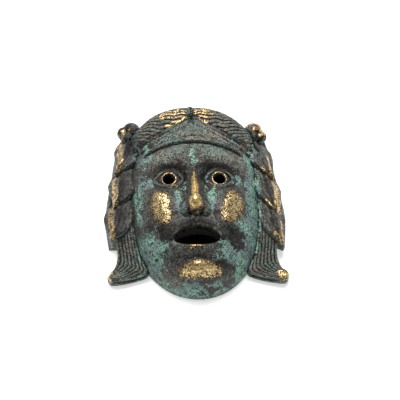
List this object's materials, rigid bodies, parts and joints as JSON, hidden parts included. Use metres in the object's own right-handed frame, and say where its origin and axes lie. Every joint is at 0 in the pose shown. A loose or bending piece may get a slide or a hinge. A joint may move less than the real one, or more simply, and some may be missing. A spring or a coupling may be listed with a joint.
{
  "type": "theatre mask",
  "caption": "Hollow cast bronze theatre mask with pierced pupils, an open mouth, a bandeau, waved hair and twisted ringlets, lying face up on its rim.",
  "frame": {"origin": "middle of the bounding box's footprint, on the plane of the flat rim that the mask lies on", "axes": "+Z from the rim up to the tip of the nose, +Y from the chin to the crown, +X to the viewer's right"},
  "size_m": [0.1016, 0.115, 0.0435],
  "materials": {
    "bronze": "cast bronze with a dark brown and green patina, rubbed bright on the high points"
  },
  "bodies": {
    "root": {"mask": "bronze"}
  },
  "joints": []
}
